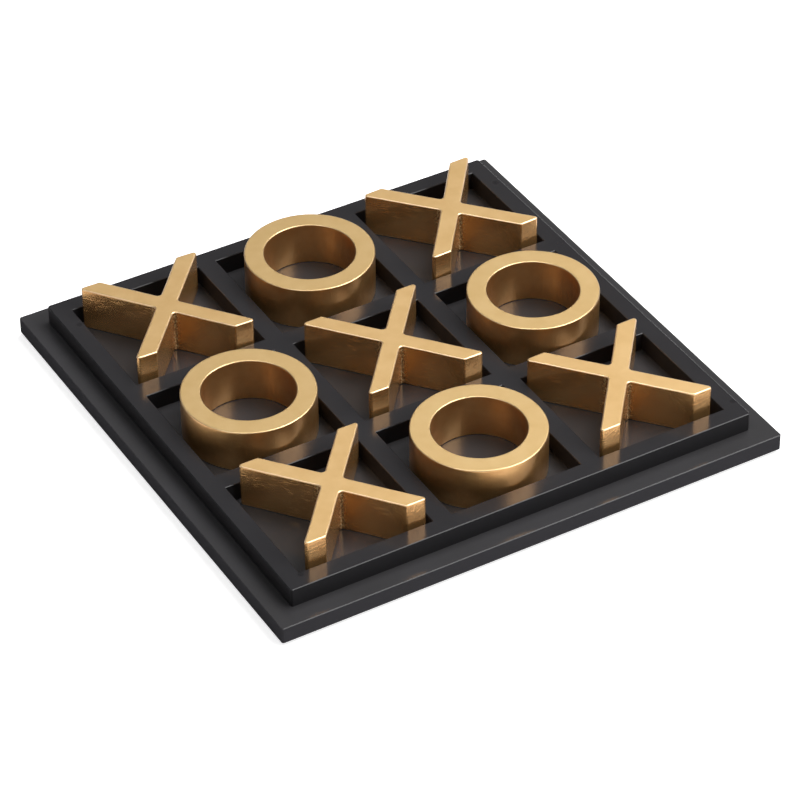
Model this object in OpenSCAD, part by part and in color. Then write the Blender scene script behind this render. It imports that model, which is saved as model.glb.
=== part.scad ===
// Tic-tac-toe board with loose crosses and rings.
// A square base plate carries a raised grid: four mitred rails round the outside and four dividers
// that are halved into each other where they cross. The grid leaves nine cells, and a playing
// piece stands loose in each of them.
// X points right, Y to the back and Z up. The origin is at the centre of the footprint, on the
// surface that the felt pads stand on.

/* [Base plate] */
// Thickness of the base plate
base_t = 11.5; // [6:0.5:20]
// Width of the bare ledge that the base plate shows round the grid
ledge_w = 14.5; // [5:0.5:30]

/* [Grid] */
// Height of the rails and dividers above the base plate
grid_h = 13; // [8:0.5:20]
// Width of the four outer rails
rail_w = 12; // [8:0.5:24]
// Width of the four dividers
divider_w = 13.5; // [8:0.5:24]

/* [Playing pieces] */
// Width and depth of every playing piece
piece_w = 86; // [60:1:120]
// Height of every playing piece
piece_h = 30; // [16:1:45]
// Gap between a centred piece and each wall of its cell
piece_gap = 3; // [2:0.25:8]
// Thickness of the wall of a ring
ring_wall = 13; // [6:0.5:22]
// Thickness of the arms of a cross
arm_t = 12; // [8:0.5:20]
// Radius of the hollow corners between the arms of a cross
notch_r = 2.5; // [2:0.5:6]

/* [Edges] */
// Radius of the upright corners at the ends of the arms of a cross
tip_r = 1.8; // [1.2:0.1:3]
// Width of the sanded arris on the top and bottom edges of every playing piece
piece_edge = 0.7; // [0.3:0.1:1.1]
// Width of the sanded arris on the edges of the base plate and of the grid
board_edge = 0.4; // [0.3:0.1:1.1]
// Depth of the flat that takes the upright corners off the base plate and the grid
corner_cut = 0.7; // [0.6:0.1:1.5]

/* [Felt pads] */
// Diameter of a pad
pad_d = 20; // [12:1:30]
// Thickness of a pad
pad_t = 2; // [1:0.5:4]
// Distance from the edge of a pad to the edges of the base plate
pad_inset = 14; // [5:1:40]

/* [Hidden] */
$fn = 96;

// Paint and felt
black = [0.13, 0.13, 0.14];
gold = [0.80, 0.64, 0.38];
felt = [0.22, 0.22, 0.22];

// The board grows outwards from the size of its pieces
cell_w = piece_w + 2 * piece_gap;
pitch = cell_w + divider_w;
well_w = 3 * cell_w + 2 * divider_w;
grid_w = well_w + 2 * rail_w;
base_w = grid_w + 2 * ledge_w;

// Heights above the surface that the board stands on
floor_z = pad_t + base_t;
lap_h = grid_h / 2;

// Cutters reach this far past what they cut
over = 1;

// A rounding meets the walls beside it at this small angle, so that the two forms cross cleanly
blend = 10;

// The two sides of an arm run from corner to corner of a square of piece_w, so the arm leans off
// the Y axis by the angle a with cos a - sin a = arm_t / piece_w
half_w = piece_w / 2;
arm_lean = acos(arm_t / piece_w / sqrt(2)) - 45;
// Width of an arm where it is cut off square to the Y axis
arm_end_w = arm_t / cos(arm_lean);
// Half the angle of the hollow corners at the front and back, and at the left and right
notch_half = [arm_lean, 90 - arm_lean];

// Turn that a piece needs to bring its corners to the walls of its cell
full_turn = asin(piece_gap / half_w);

// Upright rectangle, centred on x, with its top corners cut off and its bottom ones where foot is
// more than 0
module bevel_rect(w, h, top, foot) {
    polygon([[-w / 2 + foot, 0], [w / 2 - foot, 0], [w / 2, foot], [w / 2, h - top],
             [w / 2 - top, h], [-w / 2 + top, h], [-w / 2, h - top], [-w / 2, foot]]);
}

// Square plate with bevelled top edges, bottom edges where foot is more than 0, and upright
// corners that are cut off by a flat with the same bevels
module bevel_plate(w, h, top, foot) {
    intersection() {
        rotate([90, 0, 0])
            linear_extrude(w, center = true)
                bevel_rect(w, h, top, foot);
        rotate([90, 0, 90])
            linear_extrude(w, center = true)
                bevel_rect(w, h, top, foot);
        rotate([0, 0, 45])
            rotate([90, 0, 0])
                linear_extrude(2 * w, center = true)
                    bevel_rect(w * sqrt(2) - 2 * corner_cut, h, top, foot);
        rotate([0, 0, -45])
            rotate([90, 0, 0])
                linear_extrude(2 * w, center = true)
                    bevel_rect(w * sqrt(2) - 2 * corner_cut, h, top, foot);
    }
}

// Carries a child to the floor of a cell: col runs from left to right and row from front to back
module in_cell(col, row) {
    translate([(col - 1) * pitch, (row - 1) * pitch, floor_z])
        children();
}

// Room of one cell, from its floor up, with the bevel of its mouth
module cell_room() {
    module across() {
        linear_extrude(cell_w + 2 * over, center = true)
            polygon([[-cell_w / 2, -over], [cell_w / 2, -over], [cell_w / 2, grid_h - board_edge],
                     [cell_w / 2 + board_edge + over, grid_h + over],
                     [-cell_w / 2 - board_edge - over, grid_h + over],
                     [-cell_w / 2, grid_h - board_edge]]);
    }
    intersection() {
        rotate([90, 0, 0])
            across();
        rotate([90, 0, 90])
            across();
    }
}

// The grid as one form: rails and dividers are cut out of it
module grid_form() {
    difference() {
        translate([0, 0, floor_z])
            bevel_plate(grid_w, grid_h, board_edge, 0);
        for (col = [0:2], row = [0:2])
            in_cell(col, row)
                cell_room();
    }
}

// One rail, mitred at both ends, on the side that the turn points to
module rail(turn) {
    intersection() {
        grid_form();
        rotate([0, 0, turn])
            translate([0, 0, floor_z])
                linear_extrude(grid_h)
                    polygon([[-grid_w / 2, -grid_w / 2], [grid_w / 2, -grid_w / 2],
                             [well_w / 2, -well_w / 2], [-well_w / 2, -well_w / 2]]);
    }
}

// One divider between two rails. It runs along X, and where the others cross it, it keeps its
// upper half, or its lower half where under is true
module divider_blank(side, under) {
    translate([0, side * pitch / 2, floor_z])
        difference() {
            translate([-well_w / 2, -divider_w / 2, 0])
                cube([well_w, divider_w, grid_h]);
            for (x = [-1, 1])
                translate([x * pitch / 2 - divider_w / 2, -divider_w, under ? lap_h : -over])
                    cube([divider_w, 2 * divider_w, lap_h + over]);
        }
}

module front_back_divider(side) {
    intersection() {
        grid_form();
        divider_blank(side, false);
    }
}

module left_right_divider(side) {
    intersection() {
        grid_form();
        rotate([0, 0, -90])
            divider_blank(side, true);
    }
}

// Ring with sanded edges, standing on z = 0
module ring() {
    rotate_extrude()
        translate([half_w - ring_wall / 2, 0])
            bevel_rect(ring_wall, piece_h, piece_edge, piece_edge);
}

// One arm of a cross, longer than it ends up. Its sanded flats run on past the top and bottom
module arm(lean) {
    flat = piece_edge + over;
    rotate([0, 0, lean])
        rotate([90, 0, 0])
            linear_extrude(3 * piece_w, center = true)
                translate([0, -over])
                    bevel_rect(arm_t, piece_h + 2 * over, flat, flat);
}

// Kite with one tip at the origin and two right angles at the distance reach from it. The opposite
// tip lies on the x axis, and half is half of the angle there
module kite(reach, half) {
    polygon([[0, 0], [reach * sin(half), reach * cos(half)], [reach / sin(half), 0],
             [reach * sin(half), -reach * cos(half)]]);
}

// Cutter that rounds an upright corner together with its sanded edges: the corner is at the
// origin, the solid lies towards -x, and half is half of its angle
module tip_cutter(half) {
    axis_gap = tip_r * cos(blend);
    neck_r = tip_r - piece_edge;
    translate([-axis_gap / sin(half), 0, 0])
        difference() {
            translate([0, 0, -neck_r / 2])
                linear_extrude(piece_h + neck_r)
                    kite(axis_gap + over, half);
            rotate_extrude()
                polygon([[0, -neck_r], [tip_r, piece_edge], [tip_r, piece_h - piece_edge],
                         [0, piece_h + neck_r]]);
        }
}

// Web that fills a hollow corner to the radius notch_r: the sharp corner is at the origin, the
// free space opens towards +x, and half is half of its angle. It runs past the top and bottom too
module notch_web(half) {
    axis_gap = notch_r * cos(blend);
    mouth_r = notch_r + piece_edge + over;
    translate([axis_gap / sin(half), 0, 0])
        difference() {
            translate([0, 0, -over / 2])
                linear_extrude(piece_h + over)
                    mirror([1, 0])
                        kite(axis_gap + piece_edge + over, half);
            rotate_extrude()
                polygon([[0, -over], [mouth_r, -over], [notch_r, piece_edge],
                         [notch_r, piece_h - piece_edge], [mouth_r, piece_h + over],
                         [0, piece_h + over]]);
        }
}

// Carries a child to each end corner of the arms, with the solid towards -x: the outer corners
// are acute and the inner ones obtuse
module at_tips(outer) {
    x = outer ? half_w : half_w - arm_end_w;
    half = (outer ? 90 - arm_lean : 90 + arm_lean) / 2;
    out = outer ? half : 180 - half;
    for (mx = [0, 1], my = [0, 1])
        mirror([mx, 0, 0])
            mirror([0, my, 0])
                translate([x, half_w, 0])
                    rotate([0, 0, out])
                        children();
}

// Cross standing on z = 0. One prism along X cuts its top, its bottom and the ends of its arms
module cross() {
    difference() {
        intersection() {
            union() {
                arm(arm_lean);
                arm(-arm_lean);
                for (quarter = [0:3]) {
                    half = notch_half[(quarter + 1) % 2];
                    rotate([0, 0, 90 * quarter])
                        translate([arm_t / 2 / sin(half), 0, 0])
                            notch_web(half);
                }
            }
            rotate([90, 0, 90])
                linear_extrude(2 * piece_w, center = true)
                    bevel_rect(piece_w, piece_h, piece_edge, piece_edge);
        }
        at_tips(true)
            tip_cutter((90 - arm_lean) / 2);
        at_tips(false)
            tip_cutter((90 + arm_lean) / 2);
    }
}

// A playing piece lies loose, so each one is left a little off the centre of its cell. The shift
// and the turn are shares of the free gap and of the full turn, and together they stay under 1
module ring_in_cell(col, row, shift) {
    in_cell(col, row)
        translate(piece_gap * shift)
            ring();
}

module cross_in_cell(col, row, shift, turn) {
    in_cell(col, row)
        translate(piece_gap * shift)
            rotate([0, 0, turn * full_turn])
                cross();
}

// Round felt pad under one corner of the base plate
module pad(side_x, side_y) {
    reach = base_w / 2 - pad_inset - pad_d / 2;
    color(felt)
        translate([side_x * reach, side_y * reach, 0])
            cylinder(d = pad_d, h = pad_t);
}

module base_plate() color(black) translate([0, 0, pad_t])
    bevel_plate(base_w, base_t, board_edge, board_edge);

module front_rail() color(black) rail(0);
module right_rail() color(black) rail(90);
module back_rail() color(black) rail(180);
module left_rail() color(black) rail(270);

module front_divider() color(black) front_back_divider(-1);
module back_divider() color(black) front_back_divider(1);
module left_divider() color(black) left_right_divider(-1);
module right_divider() color(black) left_right_divider(1);

module x_front_left() color(gold) cross_in_cell(0, 0, shift = [0.8, -0.13], turn = -0.13);
module x_front_right() color(gold) cross_in_cell(2, 0, shift = [-0.74, 0.13], turn = 0.25);
module x_centre() color(gold) cross_in_cell(1, 1, shift = [0.2, -0.2], turn = 0);
module x_back_left() color(gold) cross_in_cell(0, 2, shift = [-0.07, -0.2], turn = -0.4);
module x_back_right() color(gold) cross_in_cell(2, 2, shift = [0.3, -0.3], turn = 0.57);

module o_front() color(gold) ring_in_cell(1, 0, shift = [0.12, -0.33]);
module o_left() color(gold) ring_in_cell(0, 1, shift = [0.65, -0.45]);
module o_right() color(gold) ring_in_cell(2, 1, shift = [-0.48, -0.85]);
module o_back() color(gold) ring_in_cell(1, 2, shift = [0.25, 0.7]);

module pad_front_left() pad(-1, -1);
module pad_front_right() pad(1, -1);
module pad_back_left() pad(-1, 1);
module pad_back_right() pad(1, 1);

base_plate();
front_rail();
back_rail();
left_rail();
right_rail();
front_divider();
back_divider();
left_divider();
right_divider();
x_front_left();
x_front_right();
x_centre();
x_back_left();
x_back_right();
o_front();
o_left();
o_right();
o_back();
pad_front_left();
pad_front_right();
pad_back_left();
pad_back_right();
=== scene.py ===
"""Tic-tac-toe board with loose gold crosses and rings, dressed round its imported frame.

Metres, in the frame of the construction: X to the right, Y to the back, Z up, and the table at z = 0.
"""
import bpy
import numpy as np
from mathutils import Matrix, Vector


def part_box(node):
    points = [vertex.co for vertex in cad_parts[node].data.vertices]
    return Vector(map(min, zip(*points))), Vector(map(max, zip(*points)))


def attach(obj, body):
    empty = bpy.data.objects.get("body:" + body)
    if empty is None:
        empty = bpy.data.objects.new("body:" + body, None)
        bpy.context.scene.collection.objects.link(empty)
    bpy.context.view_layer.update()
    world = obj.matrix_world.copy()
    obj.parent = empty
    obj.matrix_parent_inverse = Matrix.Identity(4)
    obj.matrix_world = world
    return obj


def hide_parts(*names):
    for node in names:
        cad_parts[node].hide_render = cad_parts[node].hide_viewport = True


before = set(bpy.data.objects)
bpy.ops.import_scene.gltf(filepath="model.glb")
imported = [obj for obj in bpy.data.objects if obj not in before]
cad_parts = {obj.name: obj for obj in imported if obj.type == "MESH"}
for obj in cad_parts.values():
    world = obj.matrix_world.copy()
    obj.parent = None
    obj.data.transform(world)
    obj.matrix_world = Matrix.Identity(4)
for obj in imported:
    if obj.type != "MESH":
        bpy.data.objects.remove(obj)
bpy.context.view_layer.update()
MM = 0.001

# Pieces of the object

RINGS = ["o_front", "o_left", "o_right", "o_back"]
# the loose crosses stand a little askew in their cells: degrees anticlockwise, seen from above
CROSS_TURN = {
    "x_front_left": -0.52,
    "x_front_right": 1.0,
    "x_centre": 0.0,
    "x_back_left": -1.6,
    "x_back_right": 2.28,
}
GRID = [
    "front_rail", "back_rail", "left_rail", "right_rail",
    "front_divider", "back_divider", "left_divider", "right_divider",
]
PADS = ["pad_front_left", "pad_front_right", "pad_back_left", "pad_back_right"]

# Sizes

BASE_W = 356 * MM
PAD_T = 2 * MM
PIECE_W = 86 * MM
PIECE_H = 30 * MM
RING_WALL = 13 * MM
ARM_T = 12 * MM
# roundings of a cross as seen from above, in its hollow corners and at its tips
NOTCH_R = 2.5 * MM
TIP_R = 1.8 * MM
# roundings of the upper and lower edges
CROSS_EDGE_R = 0.9 * MM
RING_EDGE_R = 0.7 * MM

# four spots near the mitres, on top of the grid, each with a faint darker round
SPOT_R = 2.6 * MM
GRID_TOP = 26.5 * MM
MITRE_SPOTS = [
    (161.1 * MM, -147.7 * MM, GRID_TOP),
    (159.2 * MM, 133.5 * MM, GRID_TOP),
    (-154.5 * MM, 134.8 * MM, GRID_TOP),
    (-151.6 * MM, -153.7 * MM, GRID_TOP),
]

# Fineness of the surfaces

EDGE_STEPS = 6
CORNER_STEPS = 7
RING_STEPS = 144
# shares of a straight wall at which points lie: in a ring's section, along an arm and up an arm
RING_SHARES = [0.03, 0.2, 0.4, 0.6, 0.8, 0.97]
ARM_SHARES = [0.012, 0.04, 0.12, 0.24, 0.36, 0.5, 0.64, 0.76, 0.88, 0.96, 0.988]
LEVEL_SHARES = np.array([0.01, 0.15, 0.35, 0.5, 0.65, 0.85, 0.99])
# a narrow band inside the rim of a cross's flat faces keeps their shading flat, and one more loop
# lies at this share of the way from the middle to the rim
FLAT_BAND = 0.25 * MM
MIDDLE_LOOP = 0.45
# radians that a ring's last step leaves, so that the marks along its wall meet in a hair line
SEAM_TURN = 0.002
# how far from a hollow corner the leaf is pitted
HOLLOW_REACH = 3.4 * MM
# waves that hand sanding leaves: their length and depth, and how much each direction takes part
RUB_WAVES = [(34 * MM, 0.07 * MM), (17 * MM, 0.035 * MM), (9 * MM, 0.012 * MM)]
RUB_SPREAD = [0.6, 0.6, 0.35]


# Surfaces

def rounded_outline(corners, radii, inset, arc_steps, wall_shares):
    """Closed outline with rounded corners, inset inwards, as an array of points.

    corners run anticlockwise. A rounding's centre lies on the corner's bisector, as far from both
    sides as its radius: inside at an outer corner and outside at a hollow one. The inset makes the
    radius smaller at an outer corner and larger at a hollow one, while the centre stays. Between
    two roundings, points lie on the straight wall at the given shares of its length.
    """
    before = corners - np.roll(corners, 1, axis=0)
    after = np.roll(corners, -1, axis=0) - corners
    n1 = np.stack([-before[:, 1], before[:, 0]], 1) / np.linalg.norm(before, axis=1)[:, None]
    n2 = np.stack([-after[:, 1], after[:, 0]], 1) / np.linalg.norm(after, axis=1)[:, None]
    cross = n1[:, 0] * n2[:, 1] - n1[:, 1] * n2[:, 0]
    dot = (n1 * n2).sum(1)
    outer = np.sign(cross)
    centres = corners + (outer * radii / (1 + dot))[:, None] * (n1 + n2)
    start = np.arctan2(n1[:, 1], n1[:, 0])
    sweep = np.arctan2(cross, dot)
    angle = start[:, None] + sweep[:, None] * np.linspace(0, 1, arc_steps)
    reach = (radii - outer * inset) * outer
    arcs = centres[:, None] - reach[:, None, None] * np.stack([np.cos(angle), np.sin(angle)], 2)
    shares = np.asarray(wall_shares)[None, :, None]
    walls = arcs[:, -1:] * (1 - shares) + np.roll(arcs[:, :1], -1, axis=0) * shares
    return np.concatenate([arcs, walls], axis=1).reshape(-1, 2)


def quads(rows, columns, close_rows):
    """Faces of a grid whose columns close into a loop, and whose rows do too where asked."""
    last = rows if close_rows else rows - 1
    row, column = np.meshgrid(np.arange(last), np.arange(columns), indexing="ij")
    up, along = (row + 1) % rows, (column + 1) % columns
    first, second = row * columns + column, row * columns + along
    third, fourth = up * columns + along, up * columns + column
    return np.stack([first, second, third, fourth], -1).reshape(-1, 4)


def fan(first, columns, pole, outwards_up):
    """Triangles from the loop of points that starts at first to one point, the pole.

    They face up if the loop runs anticlockwise and outwards_up is set, and down if it isn't.
    """
    here = first + np.arange(columns)
    there = first + (np.arange(columns) + 1) % columns
    ends = [here, there] if outwards_up else [there, here]
    return np.stack([*ends, np.full(columns, pole)], 1)


def put_mesh(name, points, faces, wall=None):
    """A mesh object at the origin, shaded smooth, from an array of points and arrays of faces.

    wall gives the points of a playing piece their place on its wall: how far along it, how high, and
    how near to a hollow corner.
    """
    mesh = bpy.data.meshes.new(name)
    mesh.from_pydata(points.tolist(), [], [f for part in faces for f in part.tolist()])
    mesh.polygons.foreach_set("use_smooth", np.ones(len(mesh.polygons), bool))
    if wall is not None:
        mesh.attributes.new("wall", "FLOAT_VECTOR", "POINT").data.foreach_set("vector", wall.ravel())
    mesh.update()
    obj = bpy.data.objects.new(name, mesh)
    bpy.context.scene.collection.objects.link(obj)
    return obj


def hand_rubbed(points, name):
    """Points moved sideways by at most 0.12 mm along each axis, as hand sanding leaves a wall.

    The move is a sum of slow sine waves of the height and of the two plan directions, so walls stay
    smooth and neighbouring points stay in order. Heights stay as they are. The piece's name picks
    its waves.
    """
    draw = np.random.default_rng(len(name) + ord(name[2]))
    moved = points.copy()
    for length, depth in RUB_WAVES:
        wave = 2 * np.pi / length * draw.normal(size=(2, 3)) * RUB_SPREAD
        phase = draw.uniform(0, 2 * np.pi, 2)
        moved[:, :2] += depth * np.sin(points @ wave.T + phase)
    return moved


def make_ring(name, centre, floor_z):
    """Ring: a rounded rectangle in the plane of radius and height, carried round the upright axis."""
    inner, outer = PIECE_W / 2 - RING_WALL, PIECE_W / 2
    section = np.array([[inner, 0], [outer, 0], [outer, PIECE_H], [inner, PIECE_H]])
    profile = rounded_outline(section, np.full(4, RING_EDGE_R), 0, EDGE_STEPS, RING_SHARES)
    steps = np.linspace(0, 2 * np.pi, RING_STEPS, endpoint=False)
    turn = np.append(steps, 2 * np.pi - SEAM_TURN)[:, None]
    x = centre[0] + profile[:, 0] * np.cos(turn)
    y = centre[1] + profile[:, 0] * np.sin(turn)
    z = floor_z + profile[:, 1] + 0 * turn
    points = hand_rubbed(np.stack([x, y, z], -1).reshape(-1, 3), name)
    wall = np.stack(np.broadcast_arrays(outer * turn, profile[:, 1], 0 * turn), -1).reshape(-1, 3)
    faces = quads(len(turn), len(profile), close_rows=True)[:, ::-1]
    return put_mesh("gold_" + name, points, [faces], wall)


def cross_corners():
    """The twelve sharp corners of a cross, anticlockwise from the hollow corner on the right.

    Each arm leans off the Y axis by the angle whose cosine less its sine is the arm's thickness
    over the cross's width, so that its outer sides end in the corners of a square.
    """
    half = PIECE_W / 2
    lean = np.arccos(ARM_T / PIECE_W / np.sqrt(2)) - np.pi / 4
    end = ARM_T / np.cos(lean)
    side = np.array([ARM_T / 2 / np.cos(lean), 0])
    back = np.array([0, ARM_T / 2 / np.sin(lean)])
    outer_tip, inner_tip = np.array([half, half]), np.array([half - end, half])
    quarter = np.array([side, outer_tip, inner_tip])
    across = np.array([back, inner_tip * [-1, 1], outer_tip * [-1, 1]])
    upper = np.concatenate([quarter, across])
    return np.concatenate([upper, -upper])


def make_cross(name, centre, floor_z):
    """Cross: its outline, carried up a section that is a rounded edge, a wall and a rounded edge.

    Every level of the section holds the outline at its own inset. The flat top and bottom shrink
    from the rim to a pole in the middle, which works because every point of the rim sees it.
    """
    corners = cross_corners()
    radii = np.tile([NOTCH_R, TIP_R, TIP_R], 4)
    bow = np.linspace(0, np.pi / 2, EDGE_STEPS)
    inset = CROSS_EDGE_R * (1 - np.sin(bow))
    rise = CROSS_EDGE_R * (1 - np.cos(bow))
    upright = LEVEL_SHARES * (PIECE_H - 2 * CROSS_EDGE_R) + CROSS_EDGE_R
    band = [CROSS_EDGE_R + FLAT_BAND]
    insets = np.concatenate([band, inset, 0 * upright, inset[::-1], band])
    rims = [rounded_outline(corners, radii, i, CORNER_STEPS, ARM_SHARES) for i in insets]
    turn = np.radians(CROSS_TURN[name])
    rotate = np.array([[np.cos(turn), np.sin(turn)], [-np.sin(turn), np.cos(turn)]])
    plan = np.array([MIDDLE_LOOP * rims[0], *rims, MIDDLE_LOOP * rims[-1]]) @ rotate + centre
    levels = np.concatenate([rise, upright, PIECE_H - rise[::-1]])
    heights = np.concatenate([[0, 0], levels, [PIECE_H, PIECE_H]])
    rows, columns = plan.shape[:2]
    lifted = np.broadcast_to(heights[:, None, None], (rows, columns, 1))
    points = np.concatenate([plan, lifted], 2).reshape(-1, 3)
    poles = np.array([[*centre, 0], [*centre, PIECE_H]])
    points = hand_rubbed(np.concatenate([points, poles]) + [0, 0, floor_z], name)

    # along the wall: the length of the outline up to each point
    outline = rounded_outline(corners, radii, 0, CORNER_STEPS, ARM_SHARES)
    along = np.concatenate([[0], np.cumsum(np.linalg.norm(np.diff(outline, axis=0), axis=1))])
    # near a hollow corner: 1 there, and falling off with the distance from it
    hollows = np.linalg.norm(outline[:, None] - corners[None, ::3], axis=2).min(1)
    near = np.exp(-(hollows / HOLLOW_REACH) ** 2)
    wall = np.stack(np.broadcast_arrays(along, heights[:, None], near), -1).reshape(-1, 3)
    wall = np.concatenate([wall, np.zeros((2, 3))])
    faces = [
        quads(rows, columns, close_rows=False),
        fan(0, columns, rows * columns, outwards_up=False),
        fan((rows - 1) * columns, columns, rows * columns + 1, outwards_up=True),
    ]
    return put_mesh("gold_" + name, points, faces, wall)


# Helpers for the materials

def linear(hex_colour):
    """Linear red, green, blue and alpha of an sRGB colour written as six hex digits."""
    srgb = np.array([int(hex_colour[i:i + 2], 16) for i in (0, 2, 4)]) / 255
    return (*np.where(srgb <= 0.04045, srgb / 12.92, ((srgb + 0.055) / 1.055) ** 2.4), 1)


def grey(value):
    """Linear grey with its alpha."""
    return (value, value, value, 1)


def new_material(name):
    """A material with an empty node tree."""
    material = bpy.data.materials.new(name)
    material.use_nodes = True
    material.node_tree.nodes.clear()
    return material


def add_node(material, kind, inputs, **settings):
    """A shader node with its settings; each input gets a value, or a link from another's output."""
    tree = material.node_tree
    node = tree.nodes.new(kind)
    for key, value in settings.items():
        setattr(node, key, value)
    for key, source in inputs.items():
        if isinstance(source, bpy.types.NodeSocket):
            tree.links.new(source, node.inputs[key])
        else:
            node.inputs[key].default_value = source
    return node


def compute(material, operation, *terms):
    """Result of one operation on up to three terms."""
    return add_node(material, "ShaderNodeMath", dict(enumerate(terms)), operation=operation).outputs[0]


def mix(material, share, first, second):
    """Colour that goes from the first to the second as the share goes from 0 to 1."""
    node = add_node(material, "ShaderNodeMix", {0: share, 6: first, 7: second}, data_type="RGBA")
    return node.outputs[2]


def ramp(material, source, stops):
    """Colour ramp on a source, with stops of place and colour."""
    node = add_node(material, "ShaderNodeValToRGB", {"Fac": source})
    elements = node.color_ramp.elements
    for _ in stops[2:]:
        elements.new(0.5)
    for element, (place, colour) in zip(elements, stops):
        element.position = place
        element.color = colour
    return node.outputs["Color"]


def grey_ramp(material, source, stops):
    """Ramp of plain values on a source, with stops of place and value."""
    return ramp(material, source, [(place, grey(value)) for place, value in stops])


def rescaled(material, source, start, end, low=0, high=1):
    """The source, carried from the span start to end onto low to high and held there beyond it."""
    span = {"Value": source, "From Min": start, "From Max": end, "To Min": low, "To Max": high}
    return add_node(material, "ShaderNodeMapRange", span).outputs["Result"]


def noise(material, place, size, detail):
    """Cloudy pattern of values round a half, with clouds of that size."""
    clouds = {"Vector": place, "Scale": 1 / size, "Detail": detail}
    return add_node(material, "ShaderNodeTexNoise", clouds).outputs["Fac"]


def drawn_out_noise(material, place, scale, detail):
    """Cloudy pattern with its own number of clouds to the metre along each axis."""
    drawn = add_node(material, "ShaderNodeMapping", {"Vector": place, "Scale": scale})
    return noise(material, drawn.outputs["Vector"], 1, detail)


def bump(material, height, depth, strength, below=None):
    """Normal of a surface that the height raises by up to that depth, over another bump below."""
    inputs = {"Height": height, "Distance": depth, "Strength": strength}
    if below is not None:
        inputs["Normal"] = below
    return add_node(material, "ShaderNodeBump", inputs).outputs["Normal"]


def own_place(material):
    """Place on the piece, in metres of its own axes."""
    return add_node(material, "ShaderNodeTexCoord", {}).outputs["Object"]


def levelness(material):
    """1 where the surface lies level, as a top or a bottom does, and 0 where it is upright."""
    normal = add_node(material, "ShaderNodeNewGeometry", {}).outputs["Normal"]
    parts = add_node(material, "ShaderNodeSeparateXYZ", {"Vector": normal})
    return compute(material, "ABSOLUTE", parts.outputs["Z"])


def show(material, surface):
    """Makes that shader the material's surface."""
    add_node(material, "ShaderNodeOutputMaterial", {"Surface": surface})
    return material


# Materials

def gold_leaf_paint(name, top_tones, flakes, wrinkles, wall_roughness, edge_highlight):
    """Gold leaf paint brushed on sanded wood, under a thin clear varnish.

    Metal flakes in a clear binder: a satin metal that shows its surroundings as soft clouds, pale
    on the flat tops and red-brown on the walls, where the ground shows through. The brush leaves
    fine strokes on the walls and duller tops. A paler tone painted along the rounded edges stands in
    for their highlight, and pale dots painted between the pits near the hollow corners stand in for
    glints. flakes is the share of metal, wrinkles how deep the leaf is creased on the walls, and the
    last argument how far the painted edge highlight turns the edges pale.
    """
    material = new_material(name)
    place = own_place(material)
    wall = add_node(material, "ShaderNodeAttribute", {}, attribute_name="wall").outputs["Vector"]
    level = levelness(material)
    # 1 on the flat tops, 0 on the walls
    flat = rescaled(material, level, 0.15, 0.55)

    # clouds of thicker and thinner paint, about 12 mm across
    clouds = noise(material, place, 12 * MM, 3)
    low, high = top_tones
    top_tone = ramp(material, clouds, [(0.3, linear(low)), (0.7, linear(high))])
    wall_tone = ramp(material, clouds, [(0.3, linear("EAAD69")), (0.7, linear("F4BD79"))])
    tone = mix(material, flat, wall_tone, top_tone)
    # painted highlight: a paler tone along the rounded edges, where the surface bends from a wall to a top
    painted_edge_highlight = grey_ramp(material, level, [(0.3, 0), (0.5, edge_highlight), (0.93, edge_highlight), (0.985, 0)])
    tone = mix(material, painted_edge_highlight, tone, linear("FFDCAE"))

    # strokes 0.9 mm wide and 10 mm long, upright: real ones are finer, but would not show
    stroke_scale = (1 / (0.9 * MM), 1 / (0.9 * MM), 1 / (10 * MM))
    strokes = drawn_out_noise(material, place, stroke_scale, 2)
    on_wall = grey_ramp(material, flat, [(0, 1), (1, 0.08)])
    stroked = bump(material, strokes, 0.09 * MM, on_wall)

    # wrinkles of the leaf: crooked lines where a noise 5 mm wide crosses its middle value
    folds = noise(material, place, 5 * MM, 1)
    fold_lines = grey_ramp(material, folds, [(0.4, 0), (0.5, 1), (0.6, 0)])
    # saw marks: dashes along the wall, 8 mm long and 1.4 mm apart
    dash_scale = (1 / (8 * MM), 1 / (1.4 * MM), 0)
    dashes = drawn_out_noise(material, wall, dash_scale, 2)
    dash_lines = grey_ramp(material, dashes, [(0.54, 0), (0.62, 1), (0.7, 0)])

    # wrinkles and saw marks take turns over some 15 mm
    spread = noise(material, place, 15 * MM, 1)
    folded = grey_ramp(material, spread, [(0.46, 0), (0.66, 1)])
    dashed = grey_ramp(material, spread, [(0.4, 1), (0.56, 0)])
    fold_depth = compute(material, "MULTIPLY", folded, on_wall)
    creased = bump(material, fold_lines, wrinkles, fold_depth, stroked)
    dash_depth = compute(material, "MULTIPLY", dashed, on_wall)
    sawn = bump(material, dash_lines, 0.8 * wrinkles, dash_depth, creased)

    # pits of leaf that bridged the hollow corners, 1.3 mm apart along the wall and 2 mm upwards
    pit_scale = (1 / (1.3 * MM), 1 / (2.0 * MM), 0)
    pits = drawn_out_noise(material, wall, pit_scale, 1)
    hollow = add_node(material, "ShaderNodeSeparateXYZ", {"Vector": wall}).outputs["Z"]
    pit_depth = compute(material, "MULTIPLY", hollow, on_wall)
    pitted = bump(material, pits, 0.3 * MM, pit_depth, sawn)

    # painted glints between the pits: pale dots that stand in for light caught by the pitted leaf, and more
    # of a powder than a metal
    painted_glints = grey_ramp(material, pits, [(0.52, 0), (0.6, 0.9)])
    glint_share = compute(material, "MULTIPLY", painted_glints, pit_depth)
    tone = mix(material, glint_share, tone, linear("F8D59F"))
    metal = rescaled(material, glint_share, 0, 1, flakes, 0.3)

    # roughness, from the walls over the rounded edges to the dull tops
    roughness = grey_ramp(material, level, [
        (0, wall_roughness), (0.2, wall_roughness), (0.5, 0.42), (0.7, 0.34), (0.95, 0.36), (0.995, 0.56)])
    paint = add_node(material, "ShaderNodeBsdfPrincipled", {
        "Base Color": tone, "Metallic": metal, "Roughness": roughness, "Normal": pitted,
        "Coat Weight": 0.7, "Coat Roughness": 0.22})
    return show(material, paint.outputs["BSDF"])


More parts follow.
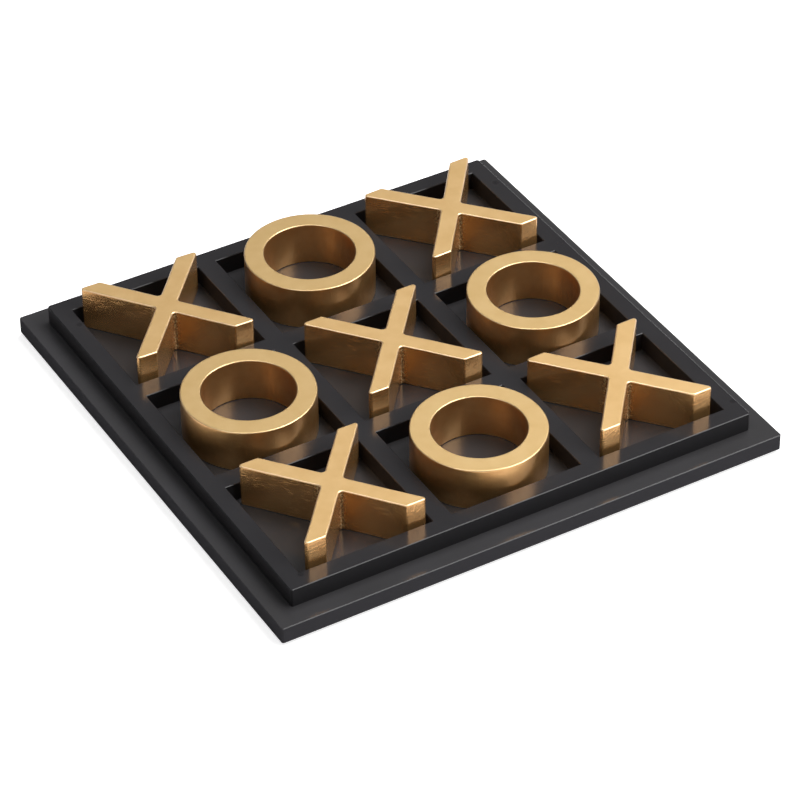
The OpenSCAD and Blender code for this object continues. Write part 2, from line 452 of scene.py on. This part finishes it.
def black_satin_paint(name, flat_tones, sawn_tone, sawn_shine, spots=()):
    """Satin black lacquer sprayed on fibre board.

    Nearly black, with a soft sheen that mirrors the gold pieces as blurred smears. The spray leaves
    a faint orange peel and slow changes of gloss. The sawn edges of the board soak the lacquer up,
    so its upright faces have their own tone and are duller than the flat ones. spots are places
    round which the top gets a faint darker round.
    """
    material = new_material(name)
    place = own_place(material)
    # 1 on the flat faces, 0 on the sawn ones
    flat = rescaled(material, levelness(material), 0.45, 0.8)

    # patches of thicker lacquer, about 40 mm across
    patches = noise(material, place, 40 * MM, 3)
    dark, light = flat_tones
    flat_tone = ramp(material, patches, [(0.3, linear(dark)), (0.7, linear(light))])
    tone = mix(material, flat, linear(sawn_tone), flat_tone)
    # a faint darker round about each spot
    for spot in spots:
        away = add_node(material, "ShaderNodeVectorMath", {0: place, 1: spot}, operation="DISTANCE")
        mark = rescaled(material, away.outputs["Value"], SPOT_R, 0.4 * SPOT_R, 0, 0.45)
        tone = mix(material, mark, tone, linear("141314"))

    flat_roughness = grey_ramp(material, patches, [(0.3, 0.17), (0.7, 0.2)])
    sawn_roughness = grey_ramp(material, patches, [(0.3, 0.4), (0.7, 0.46)])
    roughness = mix(material, flat, sawn_roughness, flat_roughness)
    # soaked-in lacquer mirrors less
    shine = grey_ramp(material, flat, [(0, sawn_shine), (1, 0.5)])

    # orange peel, with bumps about 2.5 mm apart
    peel = noise(material, place, 2.5 * MM, 2)
    skin = bump(material, peel, 0.012 * MM, 0.3)

    paint = add_node(material, "ShaderNodeBsdfPrincipled", {
        "Base Color": tone, "Roughness": roughness, "Specular IOR Level": shine, "Normal": skin,
        "IOR": 1.5})
    return show(material, paint.outputs["BSDF"])


def black_felt():
    """Pressed wool felt: a dull mat of short fibres with a faint sheen at its rim."""
    material = new_material("black_felt_pressed")

    # fibres 0.3 mm wide: real ones are finer, but would not show
    fibres = noise(material, own_place(material), 0.3 * MM, 4)
    tone = ramp(material, fibres, [(0.3, linear("1B1B1C")), (0.7, linear("3A3A3C"))])
    nap = bump(material, fibres, 0.15 * MM, 0.8)
    cloth = add_node(material, "ShaderNodeBsdfPrincipled", {
        "Base Color": tone, "Normal": nap, "Roughness": 0.95, "Sheen Weight": 0.3})
    return show(material, cloth.outputs["BSDF"])


# how much the floor is lifted towards white where it is seen, and how much more for the camera
FLOOR_LIFT = 0.33
CAMERA_LIFT = 0.37


def pale_floor():
    """Plain white studio floor.

    Where the camera sees it, a glow lifts it to plain white, and where a reflection or a clear piece
    shows it, a fainter glow lifts it part of the way. Dull surfaces get no light from the glow. The
    object's shadow stays, as faint as on a studio table that is lit from below.
    """
    material = new_material("pale_floor")
    card = add_node(material, "ShaderNodeBsdfDiffuse", {"Color": grey(0.7)})
    ray = add_node(material, "ShaderNodeLightPath", {}).outputs
    seen = compute(material, "MAXIMUM", ray["Is Camera Ray"], ray["Is Glossy Ray"])
    seen = compute(material, "MAXIMUM", seen, ray["Is Transmission Ray"])
    lift = compute(material, "MULTIPLY", seen, FLOOR_LIFT)
    lift = compute(material, "MULTIPLY_ADD", ray["Is Camera Ray"], CAMERA_LIFT, lift)
    glow = add_node(material, "ShaderNodeEmission", {"Strength": lift})
    both = add_node(material, "ShaderNodeAddShader", {0: card.outputs["BSDF"], 1: glow.outputs["Emission"]})
    return show(material, both.outputs[0])


# Dressing the object

turned_gold = gold_leaf_paint(
    "gold_leaf_paint_on_turned_wood", ("D9B87F", "DFC089"),
    flakes=0.88, wrinkles=0.03 * MM, wall_roughness=0.3, edge_highlight=0.3)
sawn_gold = gold_leaf_paint(
    "gold_leaf_paint_on_sawn_wood", ("DBB67C", "E3C088"),
    flakes=0.8, wrinkles=0.075 * MM, wall_roughness=0.25, edge_highlight=1)
grid_black = black_satin_paint(
    "black_lacquer_on_grid", ("2B2A2C", "2F2E30"), "262527", sawn_shine=0.1, spots=MITRE_SPOTS)
plate_black = black_satin_paint(
    "black_lacquer_on_plate", ("393839", "3D3C3E"), "403F42", sawn_shine=0)
felt = black_felt()

for name in [*RINGS, *CROSS_TURN]:
    low, high = (np.array(corner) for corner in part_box(name))
    make = make_ring if name in RINGS else make_cross
    piece = make(name, (low[:2] + high[:2]) / 2, low[2])
    piece.data.materials.append(turned_gold if name in RINGS else sawn_gold)
    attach(piece, name)
    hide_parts(name)

for names, finish in ((["base_plate"], plate_black), (GRID, grid_black), (PADS, felt)):
    for name in names:
        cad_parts[name].material_slots[0].material = finish


# Camera, lamps and floor

# the camera, found from the corners and edges of the board in the photograph: degrees, the focal
# length in pixels of a picture so many pixels wide, and the way from the middle of the base plate's
# underside to the lens along the picture's axes, in widths of the base plate
CAMERA_AZIMUTH = -29.892
CAMERA_ELEVATION = 38.111
CAMERA_ROLL = -0.644
FOCAL_PX = 3641.8
PICTURE_PX = 800
CAMERA_RIGHT = 0.0143239
CAMERA_UP = -0.0198278
CAMERA_BACK = 6.55102015
SENSOR_W = 36

# soft lamps that look at the middle of the board: place, width and height, and how bright their
# faces are, as the watts of power for each square metre of face, divided by pi
LAMPS = {
    "key": ((2.1, -2.3, 2.6), (3.0, 1.7), 5.4),
    "overhead": ((1.6, 0.3, 3.5), (2.3, 2.3), 7.3),
    "fill": ((-1.5, -0.4, 3.6), (1.7, 1.7), 3.4),
}
WORLD_GREY = 0.12

FLOOR_R = 40
FLOOR_GAP = 0.1 * MM
FLOOR_STEPS = 64


def stand(obj, right, up, back, spot):
    """Puts a camera or lamp into the scene at a spot, with its own axes along three directions."""
    matrix = np.eye(4)
    matrix[:3, :4] = np.stack([right, up, back, spot], 1)
    obj.matrix_world = Matrix(matrix.tolist())
    bpy.context.scene.collection.objects.link(obj)


def place_camera():
    """Camera on the photograph's line of sight: azimuth and elevation give its axes, then the roll."""
    azimuth, elevation, roll = np.radians([CAMERA_AZIMUTH, CAMERA_ELEVATION, CAMERA_ROLL])
    ahead = np.array([np.sin(azimuth), -np.cos(azimuth), 0])
    back = np.cos(elevation) * ahead + [0, 0, np.sin(elevation)]
    level = np.array([np.cos(azimuth), np.sin(azimuth), 0])
    rise = np.cross(back, level)
    right = np.cos(roll) * level + np.sin(roll) * rise
    up = np.cos(roll) * rise - np.sin(roll) * level
    way = CAMERA_RIGHT * right + CAMERA_UP * up + CAMERA_BACK * back
    data = bpy.data.cameras.new("camera")
    data.sensor_width = SENSOR_W
    data.lens = FOCAL_PX / PICTURE_PX * SENSOR_W
    data.clip_start, data.clip_end = 0.1, 50
    camera = bpy.data.objects.new("camera", data)
    stand(camera, right, up, back, np.array([0, 0, PAD_T]) + BASE_W * way)
    bpy.context.scene.camera = camera


def place_lamp(name, spot, size, brightness):
    """Flat soft lamp that looks at the board, with a power that goes with its size."""
    data = bpy.data.lights.new(name, "AREA")
    data.shape = "RECTANGLE"
    data.size, data.size_y = size
    data.energy = brightness * np.pi * size[0] * size[1]
    away = np.array(spot) / np.linalg.norm(spot)
    side = np.cross([0, 0, 1], away)
    side /= np.linalg.norm(side)
    stand(bpy.data.objects.new(name, data), side, np.cross(away, side), away, spot)


place_camera()
for name, (spot, size, brightness) in LAMPS.items():
    place_lamp(name, spot, size, brightness)

world = bpy.data.worlds.new("studio")
world.use_nodes = True
world.node_tree.nodes["Background"].inputs["Color"].default_value = grey(WORLD_GREY)
bpy.context.scene.world = world

around = np.linspace(0, 2 * np.pi, FLOOR_STEPS, endpoint=False)
rim = np.stack([FLOOR_R * np.cos(around), FLOOR_R * np.sin(around), 0 * around - FLOOR_GAP], 1)
floor_points = np.concatenate([rim, [[0, 0, -FLOOR_GAP]]])
floor = put_mesh("floor", floor_points, [fan(0, FLOOR_STEPS, FLOOR_STEPS, outwards_up=True)])
floor.data.materials.append(pale_floor())

bpy.context.scene.view_settings.view_transform = "Standard"
